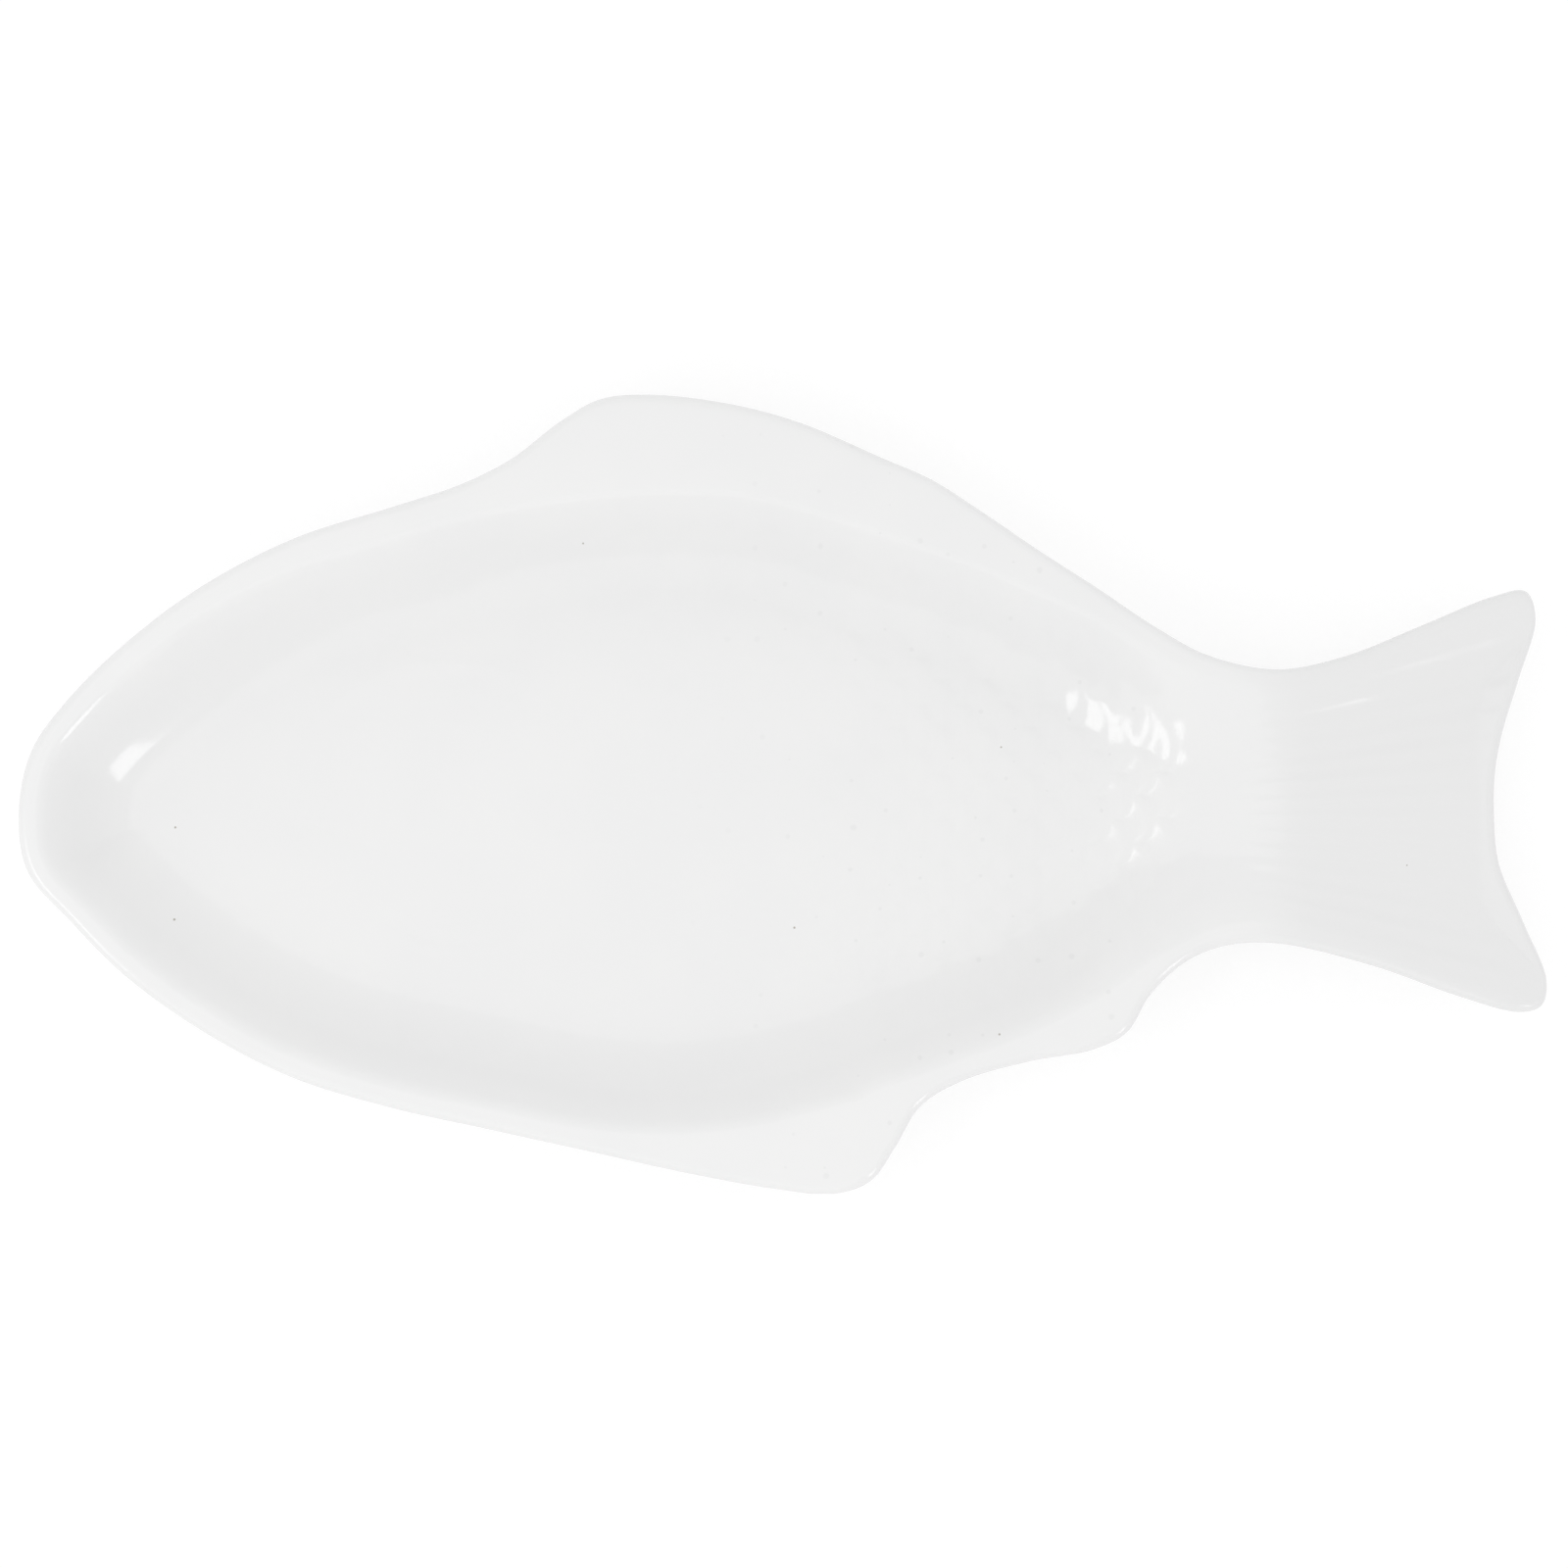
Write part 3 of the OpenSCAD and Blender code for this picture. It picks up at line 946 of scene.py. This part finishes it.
def kiln_specks(
    name: str, spread: Spread, smallest: float = 0.4, soft_share: float = 0.6
) -> bpy.types.NodeTree:
    """A group that scatters tiny specks: round spots in a few cells of a Voronoi pattern.

    Args:
        name: Name of the group.
        spread: Whether specks are spread in plan alone or in depth too.
        smallest: Radius of the smallest spot as a share of the group's Spot.
        soft_share: Share of a spot's radius over which its edge fades.

    Returns:
        The group.
    """
    make = open_group(name, {"Cell": 20 * MM, "Spot": 0.5 * MM, "Share": 0.1}, ("Mask",))
    given = make.add("NodeGroupInput").outputs
    per_metre = make.math("DIVIDE", 1.0, given["Cell"])
    cells = make.add("ShaderNodeTexVoronoi", {"Vector": given["Vector"], "Scale": per_metre},
                     voronoi_dimensions=spread.value)
    away = make.math("MULTIPLY", cells.outputs["Distance"], given["Cell"])
    chance = make.add("ShaderNodeSeparateColor", {"Color": cells.outputs["Color"]}).outputs
    radius = make.math("MULTIPLY", given["Spot"], make.math("ADD", chance["Green"], smallest))
    spot = make.math("SUBTRACT", 1.0, make.math("DIVIDE", away, radius))
    chosen = make.math("LESS_THAN", chance["Red"], given["Share"])
    mask = make.math("MULTIPLY", make.ramp(spot, 0.0, soft_share), chosen)
    make.add("NodeGroupOutput", {"Mask": mask})
    return make.tree


def fired_wobble() -> bpy.types.NodeTree:
    """A group that gives the soft unevenness of a fired surface.

    The height is a wide noise plus a share of a fine one, and the tone is the wide one alone.

    Returns:
        The group.
    """
    inputs = {"Wide": 30 * MM, "Fine": 4 * MM, "Fine Share": 0.2}
    make = open_group("fired_wobble", inputs, ("Height", "Tone"))
    given = make.add("NodeGroupInput").outputs
    sums = []
    for label in ("Wide", "Fine"):
        scale = make.math("DIVIDE", 1.0, given[label])
        noise = make.add("ShaderNodeTexNoise",
                         {"Vector": given["Vector"], "Scale": scale, "Detail": 2.0})
        sums.append(noise.outputs["Fac"])
    fine = make.math("MULTIPLY", sums[1], given["Fine Share"])
    make.add("NodeGroupOutput", {"Height": make.math("ADD", sums[0], fine), "Tone": sums[0]})
    return make.tree


@dataclass(frozen=True)
class GlazeFinish:
    """Glossy white glaze with a soft wobble, faint pooling, kiln specks, and painted shade in
    pinholes and on the tail.

    Specks and the pinholes' painted shade are given by cell, spot and share, and what is uneven by
    its wide and fine lengths and the fine one's share. The pinholes are spots painted darker, a
    painted shade for their hollows, which have no shape of their own. They set in at pit_span's
    first place along the length, over pit_soft's first run, and end past its second place, over the
    second run. The tail's glaze is painted darker as shade, which sets in between tail_span's two
    places.
    """

    name: str = "white_glaze"
    colour: tuple = (0.84, 0.84, 0.838, 1.0)
    pooled: tuple = (0.83, 0.831, 0.831, 1.0)
    pooled_span: tuple = (0.3, 0.7)
    speck: tuple = (0.42, 0.39, 0.35, 1.0)
    specks: tuple = (24 * MM, 0.32 * MM, 0.12)
    # Colour of the spots painted darker as the shade inside pinhole hollows; the spots have no
    # shape.
    pit_shade: tuple = (0.795, 0.796, 0.795, 1.0)
    pit_shade_spots: tuple = (7.4 * MM, 0.7 * MM, 0.34)
    pit_span: tuple = (-0.04, 0.08)
    pit_soft: tuple = (60 * MM, 6 * MM)
    # Painted shade: a darker glaze colour over the tail, where the tail is shaded.
    tail_shade: tuple = (0.812, 0.812, 0.812, 1.0)
    tail_span: tuple = (0.108, 0.124)
    rough_span: tuple = (0.25, 0.75)
    rough: tuple = (0.09, 0.13)
    uneven: tuple = (26 * MM, 7 * MM, 0.16)
    wobble: float = 0.06 * MM

    def make(self, groups: dict[str, bpy.types.NodeTree]) -> bpy.types.Material:
        """Builds the material.

        Args:
            groups: The shared groups by name.

        Returns:
            The material.
        """
        material = bpy.data.materials.new(self.name)
        make = empty_nodes(material)
        specks = make.effect(groups["glaze_specks"], self.specks)["Mask"]
        # Mask of the spots painted darker as pinhole shade.
        pit_shade_spots = make.effect(groups["glaze_specks"], self.pit_shade_spots)["Mask"]
        uneven = make.effect(groups["fired_wobble"], self.uneven)
        place = make.add("ShaderNodeTexCoord").outputs["Object"]
        along = make.add("ShaderNodeSeparateXYZ", {0: place}).outputs["X"]
        low, high = self.pit_span
        behind = make.ramp(along, low, low + self.pit_soft[0])
        ahead = make.ramp(along, high, high + self.pit_soft[1], 1.0, 0.0)
        pit_shade_mask = make.math("MULTIPLY", make.math("MULTIPLY", behind, ahead), pit_shade_spots)
        tone = make.ramp(uneven["Tone"], *self.pooled_span)
        colour = make.blend(tone, self.pooled, self.colour)
        # Painted shade: the pinhole spots darken the glaze.
        colour = make.blend(pit_shade_mask, colour, self.pit_shade)
        # Painted shade: the glaze darkens over the tail from tail_span's first place to its second.
        colour = make.blend(make.ramp(along, *self.tail_span), colour, self.tail_shade)
        colour = make.blend(specks, colour, self.speck)
        rough = make.ramp(uneven["Tone"], *self.rough_span, *self.rough)
        make.surface(colour, rough, uneven["Height"], self.wobble, 1.0)
        return material


@dataclass(frozen=True)
class ClayFinish:
    """Matt fired clay with a fine grain, soft stains and some dark grit.

    Specks of grit and what is uneven are given as in the glaze.
    """

    name: str
    colour: tuple
    stained: tuple
    rough: tuple
    stained_span: tuple = (0.35, 0.7)
    rough_span: tuple = (0.3, 0.7)
    grit: tuple = (0.36, 0.31, 0.26, 1.0)
    specks: tuple = (3.2 * MM, 0.22 * MM, 0.3)
    uneven: tuple = (11 * MM, 0.5 * MM, 0.6)
    grain: float = 0.05 * MM
    grain_strength: float = 0.8

    def make(self, groups: dict[str, bpy.types.NodeTree]) -> bpy.types.Material:
        """Builds the material.

        Args:
            groups: The shared groups by name.

        Returns:
            The material.
        """
        material = bpy.data.materials.new(self.name)
        make = empty_nodes(material)
        specks = make.effect(groups["clay_specks"], self.specks)["Mask"]
        uneven = make.effect(groups["fired_wobble"], self.uneven)
        tone = make.ramp(uneven["Tone"], *self.stained_span)
        colour = make.blend(specks, make.blend(tone, self.stained, self.colour), self.grit)
        rough = make.ramp(uneven["Tone"], *self.rough_span, *self.rough)
        make.surface(colour, rough, uneven["Height"], self.grain, self.grain_strength)
        return material


# The pieces


@dataclass
class PlatterPart:
    """A piece of the platter that stands for one node of the CAD model."""

    surface: FishSurface
    node: ClassVar[str]
    slot: ClassVar[Slot]

    def build(self) -> bpy.types.Object:
        """Makes the piece, each part in its own way."""
        raise NotImplementedError

    def dress(self, material: bpy.types.Material) -> None:
        """Builds the piece, gives it its finish and rides it on the platter for its node.

        Args:
            material: The finish.
        """
        piece = self.build()
        piece.data.materials.append(material)
        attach(piece, Body.WHOLE.value)
        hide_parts(self.node)
        faces = len(piece.data.polygons)
        LOG.info("%s replaces %s with %d faces", piece.name, self.node, faces)


@dataclass
class ClayDish(PlatterPart):
    """The fired clay with its well, rim, fins and tail, all under the glaze."""

    node: ClassVar[str] = "clay_body"
    slot: ClassVar[Slot] = Slot.CLAY
    detail: SkinDetail = SkinDetail(wall=12, floor=6, under_wall=10, under_flat=4, lip_turns=6)

    def build(self) -> bpy.types.Object:
        """The skin a coat of glaze under the surface, closed by a flat floor over the foot.

        Returns:
            The clay's piece.
        """
        skin = Skin(self.surface, self.detail, self.surface.sizes.glaze)
        points, quads = skin.build()
        floor = strip_faces(self.surface.foot_count, skin.foot_first)
        faces = quads.tolist() + [face[::-1] for face in floor]
        return make_piece("fired_clay", points, faces)


@dataclass
class GlazeCoat(PlatterPart):
    """The coat of glaze over the top, the lip and the underside, with the pressed relief."""

    node: ClassVar[str] = "outer_glaze"
    slot: ClassVar[Slot] = Slot.GLAZE
    outer: SkinDetail = SkinDetail(
        wall=22, floor=66, under_wall=10, under_flat=4, lip_turns=12, land=6
    )
    inner: SkinDetail = ClayDish.detail

    def build(self) -> bpy.types.Object:
        """The outer skin, the clay's skin turned round, and the edge that joins them.

        Returns:
            The glaze's piece.
        """
        fish, sizes = self.surface, self.surface.sizes
        relief = (Scales(sizes), HeadLines(sizes), TailRibs(sizes), FinGrooves(sizes))
        outer = Skin(fish, self.outer, 0.0, relief)
        inner = Skin(fish, self.inner, sizes.glaze)
        outer_points, outer_quads = outer.build()
        inner_points, inner_quads = inner.build()
        shift = len(outer_points)
        point, ahead = neighbours(fish.foot_count)
        out, under = outer.foot_first, shift + inner.foot_first
        rim = np.stack([out + ahead, under + ahead, under + point, out + point], -1)
        faces = np.vstack([outer_quads, inner_quads[:, ::-1] + shift, rim])
        return make_piece("glaze_coat", np.vstack([outer_points, inner_points]), faces.tolist())


@dataclass
class FootRing(PlatterPart):
    """The bare ring of clay under the well, ground flat where it stands."""

    node: ClassVar[str] = "foot_ring"
    slot: ClassVar[Slot] = Slot.BARE_FOOT
    fillet: float = 0.9 * MM
    turns: int = 6

    def build(self) -> bpy.types.Object:
        """A profile with two rounded lower corners, carried round the foot's oval.

        Returns:
            The ring's piece.
        """
        sizes, fish = self.surface.sizes, self.surface
        turn = np.linspace(0.0, math.pi / 2, self.turns + 1)
        outer = np.stack([self.fillet * (1 - np.cos(turn)), self.fillet * (1 - np.sin(turn))], -1)
        inner = np.stack([sizes.foot_width - outer[::-1, 0], outer[::-1, 1]], -1)
        top = np.array([[0.0, sizes.foot_height]])
        profile = np.vstack([top, outer, inner, [[sizes.foot_width, sizes.foot_height]]])
        loops = np.stack([fish.foot_loop(inset) for inset, _ in profile])
        heights = np.broadcast_to(profile[:, 1, None, None], (*loops.shape[:2], 1))
        points = np.concatenate([loops, heights], -1)
        rows, around = points.shape[:2]
        quads = ring_quads(rows, around)
        point, ahead = neighbours(around)
        last = (rows - 1) * around
        lid = np.stack([last + point, point, ahead, last + ahead], -1)[:, ::-1]
        return make_piece("ground_foot", points.reshape(-1, 3), np.vstack([quads, lid]).tolist())


@dataclass
class RecessGlaze(PlatterPart):
    """The glaze inside the foot ring, which thins a little towards its middle."""

    node: ClassVar[str] = "recess_glaze"
    slot: ClassVar[Slot] = Slot.GLAZE
    pool: float = 0.12 * MM
    pool_run: float = 12 * MM
    rings: int = 14
    crowd: float = 1.5
    slit: float = 1 * MM

    def build(self) -> bpy.types.Object:
        """Ovals from the foot's inner edge inwards, below and above, closed in the middle.

        They crowd towards the edge by a power, and the last one is a slit wide on each side.

        Returns:
            The glaze's piece.
        """
        sizes, fish = self.surface.sizes, self.surface
        low = sizes.foot_height - sizes.glaze
        shares = np.linspace(0.0, 1.0, self.rings) ** self.crowd
        insets = sizes.foot_width + shares * (fish.foot_half_width - sizes.foot_width - self.slit)
        below = np.stack([fish.foot_loop(inset) for inset in insets])
        rise = self.pool * ease((insets - sizes.foot_width) / self.pool_run)
        below_z = np.broadcast_to((low + rise)[:, None, None], (*below.shape[:2], 1))
        under = np.concatenate([below, below_z], -1)
        edge = fish.foot_loop(sizes.foot_width)
        above = np.concatenate([edge, np.full((len(edge), 1), sizes.foot_height)], -1)
        rings = np.concatenate([above[None], under])
        around = fish.foot_count
        quads = ring_quads(len(rings), around).tolist()
        lower = [face[::-1] for face in strip_faces(around, (len(rings) - 1) * around)]
        faces = quads + lower + strip_faces(around)
        return make_piece("recess_coat", rings.reshape(-1, 3), faces)


# Studio and camera


@dataclass(frozen=True)
class Softbox:
    """A light that faces down, given by its middle, size, turn and how bright it looks."""

    name: str
    middle: tuple
    size: tuple
    glow: float
    turn: float = 0.0

    def place(self) -> None:
        """Puts the light at its middle, turned about its own height."""
        light = bpy.data.lights.new(self.name, "AREA")
        light.shape = "RECTANGLE"
        light.size, light.size_y = self.size
        light.energy = math.pi * self.size[0] * self.size[1] * self.glow
        lamp = bpy.data.objects.new(self.name, light)
        lamp.location = self.middle
        lamp.rotation_euler = (0.0, 0.0, math.radians(self.turn))
        bpy.context.scene.collection.objects.link(lamp)
        LOG.info("light %s at %s", self.name, tuple(round(v, 3) for v in lamp.location))


@dataclass(frozen=True)
class Tent:
    """The white tent round the platter, brighter at its sides than overhead.

    A lean is a vector: the strength grows by its product with the direction looked in.
    """

    base: float = 0.592
    base_lean: tuple = (0.3, 0.292, 0.0)
    side: float = 0.806
    side_lean: tuple = (-0.477, -0.328, 0.0)
    patch: float = 0.125
    patch_way: tuple = (-0.35, -0.35, 0.87)
    patch_power: float = 2.0

    def strength(self, make: NodeMaker) -> bpy.types.NodeSocket:
        """Base with its lean, sides by the square of one less the height, and a soft patch.

        Args:
            make: Node maker of the world.

        Returns:
            The strength's socket.
        """
        way = make.add("ShaderNodeTexCoord").outputs["Generated"]

        def along(vector: tuple) -> bpy.types.NodeSocket:
            """Product of a vector and the direction looked in."""
            values = {0: way, 1: vector}
            return make.add("ShaderNodeVectorMath", values, operation="DOT_PRODUCT").outputs[1]

        low = make.math("SUBTRACT", 1.0, make.math("MAXIMUM", along((0.0, 0.0, 1.0)), 0.0))
        sides = make.math("MULTIPLY", make.math("POWER", low, 2.0),
                          make.math("ADD", along(self.side_lean), self.side))
        near = make.math("POWER", make.math("MAXIMUM", along(self.patch_way), 0.0),
                         self.patch_power)
        base = make.math("ADD", along(self.base_lean), self.base)
        lit = make.math("ADD", base, sides)
        return make.math("ADD", lit, make.math("MULTIPLY", near, self.patch))


@dataclass
class Studio:
    """A pale floor, a white tent, soft lights and the camera over the platter."""

    sizes: PlatterSizes
    elevation: float = 87.0
    lens: float = 150.0
    sensor: float = 36.0
    view_width: float = 0.364
    view_middle: tuple = (-0.15 * MM, 1.96 * MM)
    clip: tuple = (0.01, 50.0)
    floor_half: float = 3.0
    tent: Tent = Tent()
    floor_colour: tuple = (0.22, 0.22, 0.22, 1.0)
    bounce_colour: tuple = (0.8, 0.8, 0.8, 1.0)
    floor_glow: float = 0.81
    softboxes: tuple = (
        Softbox("ceiling_box", (-1.11, -1.08, 1.5), (2.97, 3.03), 0.416),
        Softbox("strip_box", (-1.17, -0.56, 1.45), (0.38, 1.15), 3.0, -23.0),
        Softbox("nose_box", (1.71, -1.73, 1.5), (1.88, 0.42), 3.2, -43.0),
    )

    def _seen(self, make: NodeMaker) -> bpy.types.NodeSocket:
        """A mask of the rays that see the surround as it looks, not as it lights.

        Args:
            make: Node maker of the tree.

        Returns:
            A socket that is one for camera, glossy and transmission rays.
        """
        path = make.add("ShaderNodeLightPath").outputs
        some = make.math("ADD", path["Is Camera Ray"], path["Is Glossy Ray"])
        return make.math("MINIMUM", make.math("ADD", some, path["Is Transmission Ray"]), 1.0)

    def surround(self) -> None:
        """A world that looks plain white and lights the platter as the tent does."""
        world = bpy.data.worlds.new("surround")
        bpy.context.scene.world = world
        make = empty_nodes(world)
        seen, lit = self._seen(make), self.tent.strength(make)
        hidden = make.math("MULTIPLY", make.math("SUBTRACT", 1.0, seen), lit)
        background = make.add(
            "ShaderNodeBackground",
            {"Color": (1.0, 1.0, 1.0, 1.0), "Strength": make.math("ADD", seen, hidden)},
        )
        make.add("ShaderNodeOutputWorld", {"Surface": background.outputs[0]})

    def floor(self) -> None:
        """A plain floor that shows white and keeps the platter's soft shadow."""
        half = self.floor_half
        corners = np.array([[-half, -half, 0], [half, -half, 0], [half, half, 0], [-half, half, 0]])
        ground = make_piece("studio_floor", corners, [[0, 1, 2, 3]])
        material = bpy.data.materials.new("studio_floor")
        make = empty_nodes(material)
        shown = make.add("ShaderNodeBsdfDiffuse", {"Color": self.floor_colour})
        glow = make.add("ShaderNodeEmission", {"Strength": self.floor_glow})
        both = make.add("ShaderNodeAddShader", {0: shown.outputs[0], 1: glow.outputs[0]})
        bounced = make.add("ShaderNodeBsdfDiffuse", {"Color": self.bounce_colour})
        mixed = make.add("ShaderNodeMixShader",
                         {0: self._seen(make), 1: bounced.outputs[0], 2: both.outputs[0]})
        make.add("ShaderNodeOutputMaterial", {"Surface": mixed.outputs[0]})
        ground.data.materials.append(material)

    def camera(self) -> None:
        """A camera that frames the rim's length and looks nearly straight down."""
        data = bpy.data.cameras.new("camera")
        data.lens, data.sensor_width = self.lens, self.sensor
        data.clip_start, data.clip_end = self.clip
        camera = bpy.data.objects.new("camera", data)
        distance = self.view_width * self.lens / self.sensor
        rise = math.radians(self.elevation)
        back = Vector((0.0, -math.cos(rise), math.sin(rise)))
        camera.location = Vector((*self.view_middle, self.sizes.height)) + back * distance
        camera.rotation_mode = "QUATERNION"
        camera.rotation_quaternion = (-back).to_track_quat("-Z", "Y")
        bpy.context.scene.collection.objects.link(camera)
        bpy.context.scene.camera = camera

    def build(self) -> None:
        """Sets up the floor, the surround, the lights and the camera."""
        bpy.context.scene.view_settings.view_transform = "Standard"
        self.surround()
        self.floor()
        for box in self.softboxes:
            box.place()
        self.camera()


def main() -> None:
    """Builds the finishes, the four pieces and the studio."""
    logging.basicConfig(level=logging.INFO, format="%(name)s: %(message)s")
    sizes = PlatterSizes()
    surface = FishSurface(sizes, FishOutline())
    groups = {
        "glaze_specks": kiln_specks("glaze_specks", Spread.IN_PLAN),
        "clay_specks": kiln_specks("clay_specks", Spread.IN_DEPTH),
        "fired_wobble": fired_wobble(),
    }
    clay = ClayFinish(
        "fired_clay", colour=(0.8, 0.77, 0.72, 1), stained=(0.74, 0.7, 0.64, 1), rough=(0.8, 0.72)
    )
    bare = ClayFinish(
        "bare_foot", colour=(0.78, 0.74, 0.68, 1), stained=(0.7, 0.65, 0.57, 1), rough=(0.85, 0.77)
    )
    finishes = {Slot.GLAZE: GlazeFinish(), Slot.CLAY: clay, Slot.BARE_FOOT: bare}
    materials = {slot: finish.make(groups) for slot, finish in finishes.items()}
    for part in (ClayDish, GlazeCoat, FootRing, RecessGlaze):
        part(surface).dress(materials[part.slot])
    Studio(sizes).build()


if __name__ == "__main__":
    main()
